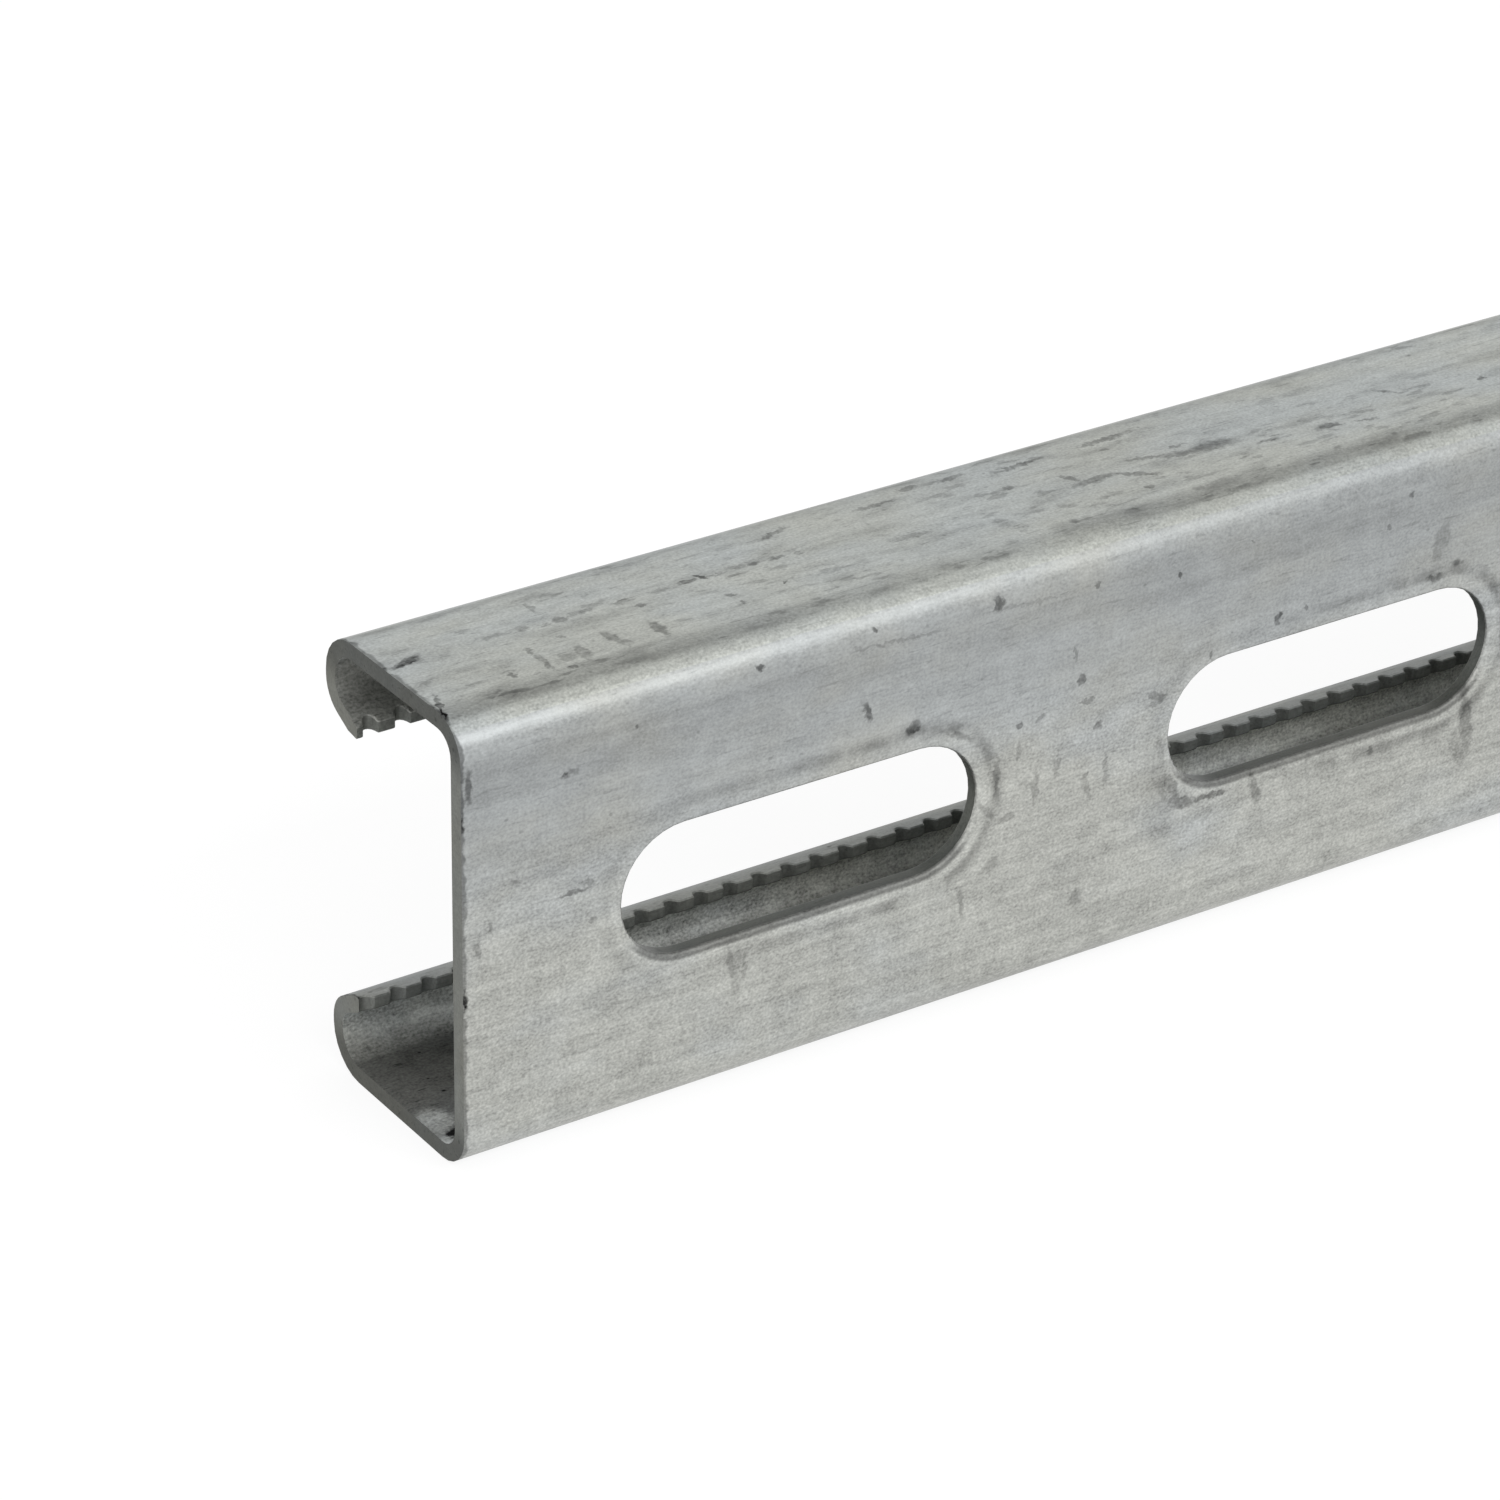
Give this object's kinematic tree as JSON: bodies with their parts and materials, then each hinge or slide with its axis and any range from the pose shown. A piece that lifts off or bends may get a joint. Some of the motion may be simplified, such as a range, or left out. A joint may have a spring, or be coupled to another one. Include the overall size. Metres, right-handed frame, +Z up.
{
  "type": "strut channel",
  "caption": "Slotted steel strut channel: an open C section with toothed, inturned lips along its open side and long bolt slots down its web.",
  "frame": {"origin": "middle of the length and of the depth, at the underside of the lower flange", "axes": "+X along the stock, +Y out of the open side, +Z up from the lower flange"},
  "size_m": [1, 0.021, 0.041],
  "materials": {
    "galvanised_steel": "dull galvanised, with fine rolling streaks"
  },
  "bodies": {
    "root": {"strut_channel": "galvanised_steel"}
  },
  "joints": []
}
